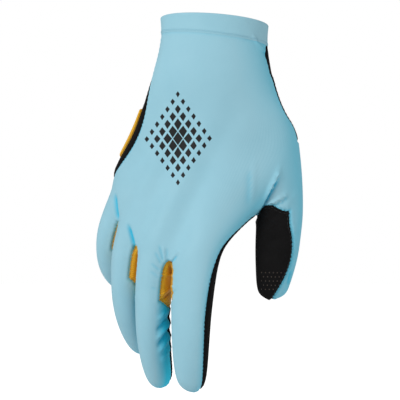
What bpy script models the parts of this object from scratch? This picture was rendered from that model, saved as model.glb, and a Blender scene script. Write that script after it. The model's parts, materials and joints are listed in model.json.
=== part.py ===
"""A slip-on motocross glove for the right hand, in the shape that it has on a hand.

The glove hangs with its fingers down. +Z is up, -Y is the back of the hand and +X is the
thumb's side. The origin is the middle of the cuff's mouth, where the wrist goes in.
The whole skin is one coarse cage with Subdivision Surface. The panels are cut from it along
the cage's own edges, so that neighbours share each seam's line, and each is extruded to a
wall of cloth with a small gap at the seam.
"""

import math
from collections import namedtuple

import bmesh
import bpy
import numpy as np
from mathutils import Vector
from mathutils.bvhtree import BVHTree

# Cloth
CLOTH = 0.0011  # wall of the stretch cloth, the palm's suede and the mesh
HEM_WALL = 0.0018  # the hem is the same cloth doubled
HEM_PROUD = 0.0004  # and stands out this much
SEAM_GAP = 0.0004  # clear distance between two panels at a seam
SHARPEST_CORNER = 0.5  # cosine that limits how far a panel's corner draws back

# Cuff and wrist
CUFF_WIDTH = 0.0637
CUFF_DEPTH = 0.0450
WRIST_LENGTH = 0.0366  # the cuff's mouth to the hand's first row

# Hand
HAND_LENGTH = 0.142  # the cuff's mouth to the knuckles' creases between index and middle finger
HAND_BREADTH = 0.078
HAND_THICKNESS = 0.034

# A cage stands outside its smooth surface by these shares
CIRCLE_SWELL = 1.017  # a ring of twenty corners
OCTAGON_SWELL = 1.108  # a ring of eight corners

# Rings of the cuff and wrist. drop is a share of WRIST_LENGTH below the mouth, width and
# depth are shares of the cuff's, side moves the middle by a share of CUFF_WIDTH. lean tips
# the ring away from the back of the hand and slope tips it to the thumb's side, in degrees.
# seam and heel are the angles of the palm's edges at the thumb's side and the little finger's.
WristRow = namedtuple("WristRow", "drop width depth side lean slope seam heel")
WRIST = [
    WristRow(0.00, 1.000, 1.00, 0.000, 8.5, 4.2, 0, 180),
    WristRow(0.31, 0.980, 0.99, 0.000, 6, 7.6, 15, 188),
    WristRow(0.58, 1.040, 0.98, 0.008, 3, 5.0, 19, 186),
    WristRow(1.00, 1.150, 0.92, -0.018, 0, 2.0, 9, 178),
]

# Rows between the wrist and the fingers. along is the share of the way from the last wrist
# ring to the fingers' bases. heel, ball and knuckle are shares of HAND_THICKNESS by which the
# little finger's edge, the thumb's edge and the knuckles stand out. edge moves the palm's
# edge towards the back of the hand, in columns of the cage.
HandRow = namedtuple("HandRow", "along heel ball knuckle edge")
EDGE_REACH = 7  # columns over which that movement fades
HEEL_COLUMN = 9  # the column that stands out most at the little finger's edge
HAND = [
    HandRow(0.18, 0.02, 0.43, 0.00, 1.3),
    HandRow(0.38, 0.02, 0.00, 0.00, 2.1),
    HandRow(0.58, 0.08, 0.00, 0.03, 2.1),
    HandRow(0.76, 0.20, 0.00, 0.06, 1.6),
    HandRow(0.90, 0.06, 0.02, 0.08, 0.5),
]

# Fingers. across, down and deep place the middle of the base as shares of HAND_BREADTH,
# HAND_LENGTH and HAND_THICKNESS. turn is about the vertical, splay towards the thumb, lift
# and curl are the bend at the base and at the tip, in degrees. taper narrows it to its tip.
Finger = namedtuple("Finger", "name across down deep turn splay lift curl taper length width depth")
FINGERS = [
    Finger("index", -0.136, 0.977, 0.00, 14, -5.9, 2.5, 28.5, 0.14, 0.0873, 0.0260, 0.0215),
    Finger("middle", -0.433, 0.937, 0.27, 26, -11.1, 6, 41.6, 0.05, 0.1007, 0.0217, 0.0208),
    Finger("ring", -0.624, 0.859, 0.75, 38, -16.5, 3.2, 48.6, 0.04, 0.0947, 0.0214, 0.0197),
    Finger("little", -0.724, 0.763, 1.24, 52, -28.5, -9.2, 77.2, 0.03, 0.0861, 0.0193, 0.0173),
]

# Sections of a finger: along is a share of its length, width and depth of its own sizes.
# seam moves the palm's edge forward on the index finger and the thumb, in degrees.
Section = namedtuple("Section", "along width depth seam")
FINGER_SECTIONS = [
    Section(0.00, 1.10, 1.16, 32),
    Section(0.14, 1.07, 1.08, 50),
    Section(0.30, 1.04, 1.02, 53),
    Section(0.48, 1.01, 1.00, 50),
    Section(0.65, 0.97, 0.94, 48),
    Section(0.81, 0.91, 0.86, 46),
    Section(0.94, 0.74, 0.68, 40),
]
GUSSET_ROWS = 2  # sections that a mesh gusset covers on a finger's side
# How far each corner of a gusset's last section hangs lower, as a share of the finger's length
GUSSET_DROPS = np.array([0.15, -0.05, 0.0, -0.06, 0.15, 0.05, 0.0, 0.05])

# The webs between the fingers lie lower than the bases' corners
WEB_BACK_DROPS = [0.0045, 0.0045, 0.0015]
WEB_MIDDLE_DROP = 0.0100
WEB_PALM_DROP = 0.0085

THUMB = Finger("thumb", 0.5115, 0.765, 0.42, 0, -5.5, -2.5, 13, 0.0, 0.0580, 0.0275, 0.0250)
THUMB_SECTIONS = [
    Section(0.03, 1.06, 1.00, 60),
    Section(0.24, 1.00, 1.00, 13),
    Section(0.44, 0.96, 0.97, -1),
    Section(0.62, 0.87, 0.88, 2),
    Section(0.79, 0.77, 0.78, 26),
    Section(0.94, 0.63, 0.60, 54),
]
# The upper edge of the thumb's palm panel is an arch: how far each corner of the thumb's
# first ring hangs below the ring, as a share of the thumb's length
THUMB_ARCH = np.array([-0.12, 0.25, -0.01, -0.05, 0.15, 0.18, 0.18, 0.06])
# The thumb's root, an oval opening in the hand's edge
ROOT_ACROSS = 0.486  # its middle, as shares of the hand's breadth, length and thickness
ROOT_DOWN = 0.612
ROOT_DEEP = 0.26
ROOT_LENGTH = 0.060
ROOT_DEPTH = 0.037
ROOT_TILT = math.radians(26)  # of its long axis, from the vertical towards the thumb
# How far each of its corners stands out to the thumb's side, as a share of its depth
ROOT_FLARE = np.array([0.0, 0.0, 0.0, 0.0, 0.0, 0.05, 0.26, 0.12])

# Angles of the eight corners of a ring, from the thumb's side over the back, in degrees
FINGER_ANGLES = np.array([-10, 41, 100, 165, 202, 235, 272, 315])
THUMB_ANGLES = np.arange(8) * 45
# How much of a section's seam angle each corner takes
SEAM_SHARES = {
    "index": np.array([1.0, 0.52, 0.13, 0.0, 0.0, 0.0, 0.17, 0.48]),
    "middle": np.array([-0.62, -0.12, 0.0, 0.0, 0.0, 0.0, 0.0, -0.30]),
    "little": np.array([-0.40, -0.40, -0.10, 0.0, 0.0, 0.0, 0.0, -0.20]),
    "thumb": np.array([0.3, 1.0, 0.45, 0.1, 0.0, 0.0, 0.0, 0.1]),
}

COLUMNS = 20  # corners of a ring round the hand
HALF = COLUMNS // 2  # the column of the palm's edge at the little finger
ROOT_TOP, ROOT_MID, ROOT_LOW = 5, 6, 7  # rows of the cage that the thumb's root opens
TIP_ROUNDING = 0.0005  # the cage's last point stands this far beyond a finger's end

# Patch on the palm at the little finger's edge
PATCH_START = 0.37  # shares of HAND_LENGTH where it starts and ends
PATCH_END = 0.59
PATCH_WIDTH = 0.0058
PATCH_FROM_SEAM = 0.0054
PATCH_WALL = 0.0010
PATCH_LIFT = 0.0005  # clear of the palm
PATCH_ROWS, PATCH_COLUMNS = 15, 4

CAGE_LEVELS = 1

UP = np.array([0.0, 0.0, 1.0])
THUMBWARD = np.array([1.0, 0.0, 0.0])
BACKWARD = np.array([0.0, -1.0, 0.0])  # the way that the back of the hand faces

# Materials: base colour, roughness
Cloth = namedtuple("Cloth", "name colour roughness")
BLUE_KNIT = Cloth("light_blue_knit", (0.35, 0.62, 0.72, 1), 0.75)
BLACK_SUEDE = Cloth("black_suede", (0.012, 0.012, 0.013, 1), 0.8)
YELLOW_MESH = Cloth("yellow_mesh", (0.78, 0.46, 0.03, 1), 0.7)

PANELS = ["back_panel", "palm_panel", "thumb_palm", "cuff_hem",
          "gusset_index_middle", "gusset_middle_ring", "gusset_ring_little"]
BACK, PALM, THUMB_PAD, HEM, FIRST_GUSSET = 0, 1, 2, 3, 4


def turned(vector, axis, angle):
    """vector turned about the unit axis by the right-hand rule."""
    across = np.cross(axis, vector)
    along = axis * (axis @ vector) * (1 - math.cos(angle))
    return vector * math.cos(angle) + across * math.sin(angle) + along


def oval(middle, side, back, width, depth, angles):
    """Corners of an oval: the middle, plus side and back times the half axes at each angle."""
    angles = np.radians(angles)[:, None]
    cosines, sines = np.cos(angles), np.sin(angles)
    return middle + side * (width / 2 * cosines) + back * (depth / 2 * sines)


def wrist_rings():
    """Rings of the cuff and wrist, each square to its own tipped axis."""
    rings = []
    for row in WRIST:
        lean, slope = math.radians(row.lean), math.radians(row.slope)
        back = turned(BACKWARD, THUMBWARD, -lean)
        side = THUMBWARD * math.cos(slope) - UP * math.sin(slope)
        middle = THUMBWARD * row.side * CUFF_WIDTH - UP * row.drop * WRIST_LENGTH
        over_back = np.linspace(row.seam, row.heel, HALF, endpoint=False)
        over_palm = np.linspace(row.heel, row.seam + 360, COLUMNS - HALF, endpoint=False)
        rings.append(oval(middle, side, back, CUFF_WIDTH * row.width * CIRCLE_SWELL,
                          CUFF_DEPTH * row.depth * CIRCLE_SWELL,
                          np.concatenate([over_back, over_palm])))
    return np.array(rings)


def finger_rings(finger, sections):
    """Rings along a finger, whose bend goes from lift to curl mostly at the middle joint.

    It gives the rings and the point at the finger's end.
    """
    turn, splay = math.radians(finger.turn), math.radians(finger.splay)
    side = turned(THUMBWARD, UP, -turn)
    back = turned(BACKWARD, UP, -turn)
    down = -UP * math.cos(splay) + side * math.sin(splay)
    side = side * math.cos(splay) + UP * math.sin(splay)
    steps = 50
    marks = np.arange(steps + 1) / steps
    bends = np.radians(finger.lift + (finger.curl - finger.lift) * marks ** 2 * (3 - 2 * marks))
    ahead = np.cos(bends)[:, None] * down - np.sin(bends)[:, None] * back
    base = np.array([finger.across * HAND_BREADTH, finger.deep * HAND_THICKNESS,
                     -finger.down * HAND_LENGTH])
    halfway = (ahead[1:] + ahead[:-1]) / 2
    path = base + np.vstack([np.zeros(3), np.cumsum(halfway, 0) * finger.length / steps])
    angles = THUMB_ANGLES if finger.name == "thumb" else FINGER_ANGLES
    seam_shares = SEAM_SHARES.get(finger.name, np.zeros(len(angles)))
    rings = []
    for section in sections:
        middle, direction = (
            np.array([np.interp(section.along, marks, line[:, i]) for i in range(3)])
            for line in (path, ahead))
        taper = 1 - finger.taper * section.along
        rings.append(oval(middle, side, np.cross(direction, side),
                          finger.width * section.width * taper * OCTAGON_SWELL,
                          finger.depth * section.depth * OCTAGON_SWELL,
                          angles + seam_shares * section.seam))
    return np.array(rings), path[-1] + ahead[-1] * TIP_ROUNDING


def hand_rings(bases):
    """Rings from the cuff's mouth to the fingers' bases, and the middles of the webs."""
    last = np.empty((COLUMNS, 3))
    last[0], last[1], last[19] = bases[0][[0, 1, 7]]
    last[[HALF - 1, HALF, HALF + 1]] = bases[3][[3, 4, 5]]
    for f, ring in enumerate(bases):
        last[2 + 2 * f], last[18 - 2 * f] = ring[2], ring[6]
    middles = []
    for f, (near, far) in enumerate(zip(bases, bases[1:])):
        last[3 + 2 * f] = (near[3] + far[1]) / 2 - UP * WEB_BACK_DROPS[f]
        last[17 - 2 * f] = (near[5] + far[7]) / 2 - UP * WEB_PALM_DROP
        middles.append((near[4] + far[0]) / 2 - UP * WEB_MIDDLE_DROP)

    wrist = wrist_rings()
    columns = np.arange(COLUMNS)
    from_heel = np.abs(columns - HALF)
    heel = np.maximum(0, 1 - np.abs(columns - HEEL_COLUMN) / 3)
    ball = np.maximum(0, 1 - np.minimum(columns, COLUMNS - columns) / 3)
    knuckle = np.zeros(COLUMNS)
    knuckle[[2, 4, 6, 8]] = 1.0
    knuckle[[3, 5, 7]] = -0.6
    slide = np.cos(np.minimum(from_heel / EDGE_REACH, 1) * math.pi / 2) ** 2
    rows = []
    for row in HAND:
        ring = wrist[-1] + (last - wrist[-1]) * row.along
        out = heel * row.heel * -1 + ball * row.ball
        ring = ring + THUMBWARD * (out * HAND_THICKNESS)[:, None]
        ring = ring + BACKWARD * (knuckle * row.knuckle * HAND_THICKNESS)[:, None]
        at = columns - slide * row.edge
        around = np.vstack([ring, ring[:1]])
        rows.append(np.stack([np.interp(at, np.arange(COLUMNS + 1), around[:, i])
                              for i in range(3)], 1))
    return np.concatenate([wrist, rows, [last]]), np.array(middles)


def root_corners():
    """The eight corners of the hole that the thumb's root makes in the hand."""
    middle = np.array([ROOT_ACROSS * HAND_BREADTH, ROOT_DEEP * HAND_THICKNESS,
                       -ROOT_DOWN * HAND_LENGTH])
    long_axis = UP * math.cos(ROOT_TILT) + THUMBWARD * math.sin(ROOT_TILT)
    outward = THUMBWARD * math.cos(ROOT_TILT) - UP * math.sin(ROOT_TILT)
    return (oval(middle, long_axis, BACKWARD, ROOT_LENGTH, ROOT_DEPTH, THUMB_ANGLES)
            + outward * (ROOT_FLARE * ROOT_DEPTH)[:, None])


def between(ids):
    """Four-sided faces between neighbouring closed rings of points, facing out."""
    here, below = ids[:-1], ids[1:]
    return np.stack([here, np.roll(here, -1, 1), np.roll(below, -1, 1), below], -1)


def build_cage():
    """The cage's points, its faces and each face's panel."""
    made = [finger_rings(finger, FINGER_SECTIONS) for finger in FINGERS]
    rows, webs = hand_rings([rings[0] for rings, _ in made])
    hole = [(ROOT_TOP, 0), (ROOT_TOP, 1), (ROOT_MID, 1), (ROOT_LOW, 1), (ROOT_LOW, 0),
            (ROOT_LOW, 19), (ROOT_MID, 19), (ROOT_TOP, 19)]
    for (row, column), corner in zip(hole, root_corners()):
        rows[row, column] = corner
    points, faces, panels = [rows.reshape(-1, 3), webs], [], []

    def add(new):
        first = sum(map(len, points))
        points.append(np.asarray(new).reshape(-1, 3))
        return first + np.arange(len(points[-1])).reshape(np.shape(new)[:-1])

    def take(quads, panel):
        faces.append(np.reshape(quads, (-1, 4)))
        panels.append(np.broadcast_to(panel, np.shape(quads)[:-1]).reshape(-1))

    def cap(end, peak, edges):
        for k, panel in edges:
            take([[end[k], end[(k + 1) % 8], end[(k + 2) % 8], peak]], [panel])

    ids = np.arange(rows[..., 0].size).reshape(len(rows), COLUMNS)
    web_ids = ids.size + np.arange(3)
    panel = np.zeros((len(rows) - 1, COLUMNS), int)
    panel[:, HALF:] = PALM
    panel[0] = HEM
    solid = np.ones(panel.shape, bool)
    solid[ROOT_TOP:ROOT_LOW, [0, 19]] = False
    take(between(ids)[solid], panel[solid])

    last = ids[-1]
    for f, (rings, peak) in enumerate(made):
        run = FINGER_SECTIONS[GUSSET_ROWS + 1].along - FINGER_SECTIONS[GUSSET_ROWS - 1].along
        rings[GUSSET_ROWS] += ((rings[GUSSET_ROWS + 1] - rings[GUSSET_ROWS - 1])
                               * (GUSSET_DROPS / run)[:, None])
        right = last[0] if f == 0 else web_ids[f - 1]
        left = last[HALF] if f == 3 else web_ids[f]
        first = [right, last[1 + 2 * f], last[2 + 2 * f], last[3 + 2 * f], left,
                 last[17 - 2 * f], last[18 - 2 * f], last[19 - 2 * f]]
        loops = np.vstack([first, add(rings[1:])])
        panel = np.tile([BACK] * 4 + [PALM] * 4, (len(loops) - 1, 1))
        if f > 0:
            panel[:GUSSET_ROWS, [0, 7]] = FIRST_GUSSET + f - 1
        if f < 3:
            panel[:GUSSET_ROWS, [3, 4]] = FIRST_GUSSET + f
        take(between(loops), panel)
        cap(loops[-1], add([peak])[0], [(0, BACK), (2, BACK), (4, PALM), (6, PALM)])

    rings, peak = finger_rings(THUMB, THUMB_SECTIONS)
    run = THUMB_SECTIONS[2].along - THUMB_SECTIONS[0].along
    rings[0] += (rings[2] - rings[0]) * (THUMB_ARCH / run)[:, None]
    loops = np.vstack([[ids[row, column] for row, column in hole], add(rings)])
    panel = np.tile([BACK] + [THUMB_PAD] * 5 + [BACK] * 2, (len(loops) - 1, 1))
    panel[0] = [BACK] * 4 + [PALM] * 2 + [BACK] * 2
    take(between(loops), panel)
    cap(loops[-1], add([peak])[0], [(1, THUMB_PAD), (3, THUMB_PAD), (5, BACK), (7, BACK)])
    return np.concatenate(points), np.concatenate(faces), np.concatenate(panels)


def clear_scene():
    for item in list(bpy.data.objects):
        bpy.data.objects.remove(item)


def new_collection(name, helpers=False):
    made = bpy.data.collections.new(name)
    made.hide_render = helpers
    bpy.context.scene.collection.children.link(made)
    return made


def smooth_skin(cage, levels, collection):
    """The cage's smooth surface as a mesh: a face's material index is its panel."""
    points, faces, panels = cage
    mesh = bpy.data.meshes.new("skin_cage")
    mesh.from_pydata(points.tolist(), [], faces.tolist())
    for name in PANELS:
        mesh.materials.append(bpy.data.materials.new("cage_" + name))
    mesh.polygons.foreach_set("material_index", panels)
    guide = bpy.data.objects.new("skin_cage", mesh)
    collection.objects.link(guide)
    guide.hide_render = True
    guide.display_type = "WIRE"
    smooth = guide.modifiers.new("smooth", "SUBSURF")
    smooth.levels = smooth.render_levels = levels
    bpy.context.view_layer.update()
    graph = bpy.context.evaluated_depsgraph_get()
    return bpy.data.meshes.new_from_object(guide.evaluated_get(graph))


def border_step(vertex, distance):
    """How a border point moves along the surface, so that its border edges step in by distance."""
    ways = []
    for edge in vertex.link_edges:
        if edge.is_boundary:
            way = vertex.normal.cross(edge.other_vert(vertex).co - vertex.co).normalized()
            inside = edge.link_faces[0].calc_center_median() - vertex.co
            ways.append(way if way.dot(inside) > 0 else -way)
    inward = sum(ways, Vector()).normalized()
    return inward * distance / max(SHARPEST_CORNER, inward.dot(ways[0]))


def wall_mesh(name, work, outer, wall):
    """A closed wall from an open sheet.

    Every point keeps its own normal, outer moves the sheet along it, and the sheet's copy
    is extruded the other way.
    """
    stored = work.verts.layers.float_vector.new("normal")
    for vertex in work.verts:
        vertex[stored] = vertex.normal
        vertex.co += vertex.normal * outer
    grown = bmesh.ops.extrude_face_region(work, geom=list(work.faces), use_keep_orig=True)
    for item in grown["geom"]:
        if isinstance(item, bmesh.types.BMVert):
            item.co -= item[stored] * wall
    bmesh.ops.recalc_face_normals(work, faces=work.faces)
    for face in work.faces:
        face.smooth = True
        face.material_index = 0
    made = bpy.data.meshes.new(name)
    work.to_mesh(made)
    work.free()
    return made


def panel_mesh(name, skin, outer, wall):
    """The wall of one panel, cut from the skin with half a seam's gap at its border."""
    work = bmesh.new()
    work.from_mesh(skin)
    work.normal_update()
    normals = {vertex: vertex.normal.copy() for vertex in work.verts}
    others = [face for face in work.faces if face.material_index != PANELS.index(name)]
    bmesh.ops.delete(work, geom=others, context="FACES")
    for vertex in work.verts:
        vertex.normal = normals[vertex]
    border = [vertex for vertex in work.verts if vertex.is_boundary]
    for vertex, step in [(vertex, border_step(vertex, SEAM_GAP / 2)) for vertex in border]:
        vertex.co += step
    return wall_mesh(name, work, outer, wall)


def patch_mesh(name, cage, skin):
    """The side patch: a grid beside the palm's edge, laid on the palm with a small gap."""
    rows = cage[0][:COLUMNS * (len(WRIST) + len(HAND) + 1)].reshape(-1, COLUMNS, 3)
    heights = rows[::-1, HALF, 2]
    at = -np.linspace(PATCH_START, PATCH_END, PATCH_ROWS) * HAND_LENGTH
    seam, beside = (
        np.stack([np.interp(at, heights, rows[::-1, column, i]) for i in range(3)], 1)
        for column in (HALF, HALF + 1))
    across = (beside - seam) / np.linalg.norm(beside - seam, axis=1)[:, None]
    offsets = PATCH_FROM_SEAM + PATCH_WIDTH * np.linspace(0, 1, PATCH_COLUMNS)
    grid = (seam[:, None] + across[:, None] * offsets[None, :, None]).reshape(-1, 3)
    tree = BVHTree.FromPolygons([v.co for v in skin.vertices], [p.vertices for p in skin.polygons])
    work = bmesh.new()
    laid = []
    for point in grid:
        place, normal, _, _ = tree.find_nearest(Vector(point))
        vertex = work.verts.new(place)
        laid.append((vertex, normal))
    corners = [vertex for vertex, _ in laid]
    for r in range(PATCH_ROWS - 1):
        for c in range(PATCH_COLUMNS - 1):
            low = r * PATCH_COLUMNS + c
            work.faces.new([corners[low], corners[low + PATCH_COLUMNS],
                            corners[low + PATCH_COLUMNS + 1], corners[low + 1]])
    for vertex, normal in laid:
        vertex.normal = normal
    return wall_mesh(name, work, PATCH_LIFT + PATCH_WALL, PATCH_WALL)


def material(cloth):
    made = bpy.data.materials.new(cloth.name)
    made.use_nodes = True
    shader = made.node_tree.nodes["Principled BSDF"]
    shader.inputs["Base Color"].default_value = cloth.colour
    shader.inputs["Roughness"].default_value = cloth.roughness
    made.diffuse_color = cloth.colour
    return made


def place(mesh, cloth, collection):
    mesh.materials.clear()
    mesh.materials.append(material(cloth))
    collection.objects.link(bpy.data.objects.new(mesh.name, mesh))


def main():
    clear_scene()
    glove = new_collection("motocross_glove")
    helpers = new_collection("helpers", helpers=True)
    cage = build_cage()
    skin = smooth_skin(cage, CAGE_LEVELS, helpers)
    for name in PANELS:
        if name == "cuff_hem":
            place(panel_mesh(name, skin, HEM_PROUD, HEM_WALL), BLUE_KNIT, glove)
        elif name == "back_panel":
            place(panel_mesh(name, skin, 0, CLOTH), BLUE_KNIT, glove)
        elif name in ("palm_panel", "thumb_palm"):
            place(panel_mesh(name, skin, 0, CLOTH), BLACK_SUEDE, glove)
        else:
            place(panel_mesh(name, skin, 0, CLOTH), YELLOW_MESH, glove)
    place(patch_mesh("side_patch", cage, skin), YELLOW_MESH, glove)


if __name__ == "__main__":
    main()
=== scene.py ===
# %% [markdown]
# # A motocross glove on an unseen hand
# The glove is a thin stretch-knit back, a suede palm, a suede thumb panel, mesh gussets
# between the fingers and a doubled hem at the cuff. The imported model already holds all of
# them as thin walls with few faces. This script keeps their shape and makes the cloth:
# more faces, seams that sink in and pucker, folds, stitches and the finish of each cloth.

import json
import math
from collections import namedtuple

import bpy
import numpy as np
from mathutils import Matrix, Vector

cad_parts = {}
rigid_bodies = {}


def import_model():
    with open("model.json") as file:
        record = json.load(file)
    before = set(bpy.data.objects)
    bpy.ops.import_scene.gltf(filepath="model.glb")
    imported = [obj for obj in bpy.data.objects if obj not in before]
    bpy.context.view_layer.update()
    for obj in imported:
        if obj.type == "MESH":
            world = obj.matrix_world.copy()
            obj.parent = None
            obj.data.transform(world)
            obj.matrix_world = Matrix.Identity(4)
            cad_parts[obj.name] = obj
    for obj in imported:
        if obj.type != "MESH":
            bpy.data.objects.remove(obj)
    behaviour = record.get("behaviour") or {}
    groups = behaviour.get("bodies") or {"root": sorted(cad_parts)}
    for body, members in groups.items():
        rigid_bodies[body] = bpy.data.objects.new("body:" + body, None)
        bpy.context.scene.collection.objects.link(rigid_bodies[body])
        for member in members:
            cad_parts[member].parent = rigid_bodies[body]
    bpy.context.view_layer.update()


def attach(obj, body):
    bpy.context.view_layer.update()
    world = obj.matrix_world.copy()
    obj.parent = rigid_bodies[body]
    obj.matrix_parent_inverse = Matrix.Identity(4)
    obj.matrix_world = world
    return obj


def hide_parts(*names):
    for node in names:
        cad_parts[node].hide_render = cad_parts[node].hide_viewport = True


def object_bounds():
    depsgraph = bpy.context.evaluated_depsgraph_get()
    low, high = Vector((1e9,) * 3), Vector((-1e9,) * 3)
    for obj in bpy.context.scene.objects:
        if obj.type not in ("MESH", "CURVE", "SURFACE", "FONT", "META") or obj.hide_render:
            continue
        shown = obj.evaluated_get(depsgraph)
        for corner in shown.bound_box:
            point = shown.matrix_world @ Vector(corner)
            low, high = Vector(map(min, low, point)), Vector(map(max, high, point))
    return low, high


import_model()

# %% [markdown]
# ## The cage that the cloth is smoothed from
# A glove's skin branches into five fingers, so no single grid covers it. It could be
# sculpted or remeshed, but then no measure could be changed later. Here it is a coarse cage
# of rings: ovals down the wrist and hand, and ovals along each bent finger, all from short
# tables. These are the model's own sizes, in metres, with +Z up the forearm and the back of
# the hand facing -Y.

# %% Sizes of the cuff, hand, fingers and thumb
CUFF_WIDTH, CUFF_DEPTH = 0.0637, 0.0450
WRIST_LENGTH = 0.0366  # the cuff's mouth to the hand's first row
HAND_LENGTH, HAND_BREADTH, HAND_THICKNESS = 0.142, 0.078, 0.034
CIRCLE_SWELL = 1.017  # how far a cage of twenty corners stands outside its smooth ring
OCTAGON_SWELL = 1.108  # and one of eight corners

# drop, side: shares of WRIST_LENGTH and CUFF_WIDTH. width, depth: shares of the cuff's.
# lean, slope: tilt in degrees. seam, heel: angles of the palm's two edges.
WristRow = namedtuple("WristRow", "drop width depth side lean slope seam heel")
WRIST = [
    WristRow(0.00, 1.000, 1.00, 0.000, 8.5, 4.2, 0, 180),
    WristRow(0.31, 0.980, 0.99, 0.000, 6, 7.6, 15, 188),
    WristRow(0.58, 1.040, 0.98, 0.008, 3, 5.0, 19, 186),
    WristRow(1.00, 1.150, 0.92, -0.018, 0, 2.0, 9, 178),
]

# along: share of the way to the fingers. heel, ball, knuckle: how far the edges and the
# knuckles stand out, as shares of HAND_THICKNESS. edge: columns that the palm's edge moves.
HandRow = namedtuple("HandRow", "along heel ball knuckle edge")
EDGE_REACH, HEEL_COLUMN = 7, 9
HAND = [
    HandRow(0.18, 0.02, 0.43, 0.00, 1.3),
    HandRow(0.38, 0.02, 0.00, 0.00, 2.1),
    HandRow(0.58, 0.08, 0.00, 0.03, 2.1),
    HandRow(0.76, 0.20, 0.00, 0.06, 1.6),
    HandRow(0.90, 0.06, 0.02, 0.08, 0.5),
]

# across, down, deep: the base as shares of the hand's breadth, length and thickness.
# turn, splay, lift, curl: degrees. length, width, depth: metres.
Finger = namedtuple("Finger", "name across down deep turn splay lift curl taper length width depth")
FINGERS = [
    Finger("index", -0.136, 0.977, 0.00, 14, -5.9, 2.5, 28.5, 0.14, 0.0873, 0.0260, 0.0215),
    Finger("middle", -0.433, 0.937, 0.27, 26, -11.1, 6, 41.6, 0.05, 0.1007, 0.0217, 0.0208),
    Finger("ring", -0.624, 0.859, 0.75, 38, -16.5, 3.2, 48.6, 0.04, 0.0947, 0.0214, 0.0197),
    Finger("little", -0.724, 0.763, 1.24, 52, -28.5, -9.2, 77.2, 0.03, 0.0861, 0.0193, 0.0173),
]
THUMB = Finger("thumb", 0.5115, 0.765, 0.42, 0, -5.5, -2.5, 13, 0.0, 0.0580, 0.0275, 0.0250)

# along, width, depth: shares of the finger's own. seam: degrees that the palm's edge moves.
Section = namedtuple("Section", "along width depth seam")
FINGER_SECTIONS = [
    Section(0.00, 1.10, 1.16, 32),
    Section(0.14, 1.07, 1.08, 50),
    Section(0.30, 1.04, 1.02, 53),
    Section(0.48, 1.01, 1.00, 50),
    Section(0.65, 0.97, 0.94, 48),
    Section(0.81, 0.91, 0.86, 46),
    Section(0.94, 0.74, 0.68, 40),
]
THUMB_SECTIONS = [
    Section(0.03, 1.06, 1.00, 60),
    Section(0.24, 1.00, 1.00, 13),
    Section(0.44, 0.96, 0.97, -1),
    Section(0.62, 0.87, 0.88, 2),
    Section(0.79, 0.77, 0.78, 26),
    Section(0.94, 0.63, 0.60, 54),
]
GUSSET_ROWS = 2
GUSSET_DROPS = np.array([0.15, -0.05, 0.0, -0.06, 0.15, 0.05, 0.0, 0.05])
WEB_BACK_DROPS, WEB_MIDDLE_DROP, WEB_PALM_DROP = [0.0045, 0.0045, 0.0015], 0.0100, 0.0085
THUMB_ARCH = np.array([-0.12, 0.25, -0.01, -0.05, 0.15, 0.18, 0.18, 0.06])
ROOT_ACROSS, ROOT_DOWN, ROOT_DEEP = 0.486, 0.612, 0.26
ROOT_LENGTH, ROOT_DEPTH, ROOT_TILT = 0.060, 0.037, math.radians(26)
ROOT_FLARE = np.array([0.0, 0.0, 0.0, 0.0, 0.0, 0.05, 0.26, 0.12])
FINGER_ANGLES = np.array([-10, 41, 100, 165, 202, 235, 272, 315])
THUMB_ANGLES = np.arange(8) * 45
# For each corner of a finger's ovals, the share of the sections' seam angle that it takes. The
# middle finger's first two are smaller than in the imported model, so that less black shows.
SEAM_SHARES = {
    "index": np.array([1.0, 0.52, 0.13, 0.0, 0.0, 0.0, 0.17, 0.48]),
    "middle": np.array([-0.45, -0.09, 0.0, 0.0, 0.0, 0.0, 0.0, -0.30]),
    "little": np.array([-0.40, -0.40, -0.10, 0.0, 0.0, 0.0, 0.0, -0.20]),
    "thumb": np.array([0.3, 1.0, 0.45, 0.1, 0.0, 0.0, 0.0, 0.1]),
}
COLUMNS, HALF = 20, 10
ROOT_TOP, ROOT_MID, ROOT_LOW = 5, 6, 7
TIP_ROUNDING = 0.0005
PATH_STEPS = 50  # short straight pieces of a finger's bent path
UP, THUMBWARD, BACKWARD = np.eye(3)[2], np.eye(3)[0], -np.eye(3)[1]
PANELS = ["back_panel", "palm_panel", "thumb_palm", "cuff_hem",
          "gusset_index_middle", "gusset_middle_ring", "gusset_ring_little"]
BACK, PALM, THUMB_PAD, HEM, FIRST_GUSSET = range(5)


# %% [markdown]
# ## Rings
# Every ring is an oval, and an oval is one formula: its middle, plus one axis times the
# cosine of an angle, plus the other axis times its sine. A finger's path bends smoothly from
# its base to its tip, and its ovals stand square to that path.

# %% Rings of the wrist and of a finger
def turned(vector, axis, angle):
    """The vector v turned by a about an axis: v cos a + (axis x v) sin a + the part along it.

    The part along the axis is axis (axis.v) (1 - cos a).
    """
    along = axis * (axis @ vector) * (1 - math.cos(angle))
    return vector * math.cos(angle) + np.cross(axis, vector) * math.sin(angle) + along


def oval(middle, side, back, width, depth, angles):
    """Corners of an oval: middle + side w/2 cos a + back d/2 sin a, for all angles at once."""
    angles = np.radians(angles)[:, None]
    return middle + side * (width / 2 * np.cos(angles)) + back * (depth / 2 * np.sin(angles))


def wrist_rings():
    """Each row of WRIST as an oval of twenty corners, tilted by the row's lean and slope."""
    rings = []
    for row in WRIST:
        lean, slope = math.radians(row.lean), math.radians(row.slope)
        side = THUMBWARD * math.cos(slope) - UP * math.sin(slope)
        middle = THUMBWARD * row.side * CUFF_WIDTH - UP * row.drop * WRIST_LENGTH
        over_back = np.linspace(row.seam, row.heel, HALF, endpoint=False)
        over_palm = np.linspace(row.heel, row.seam + 360, COLUMNS - HALF, endpoint=False)
        rings.append(oval(middle, side, turned(BACKWARD, THUMBWARD, -lean),
                          CUFF_WIDTH * row.width * CIRCLE_SWELL,
                          CUFF_DEPTH * row.depth * CIRCLE_SWELL,
                          np.concatenate([over_back, over_palm])))
    return np.array(rings)


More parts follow.
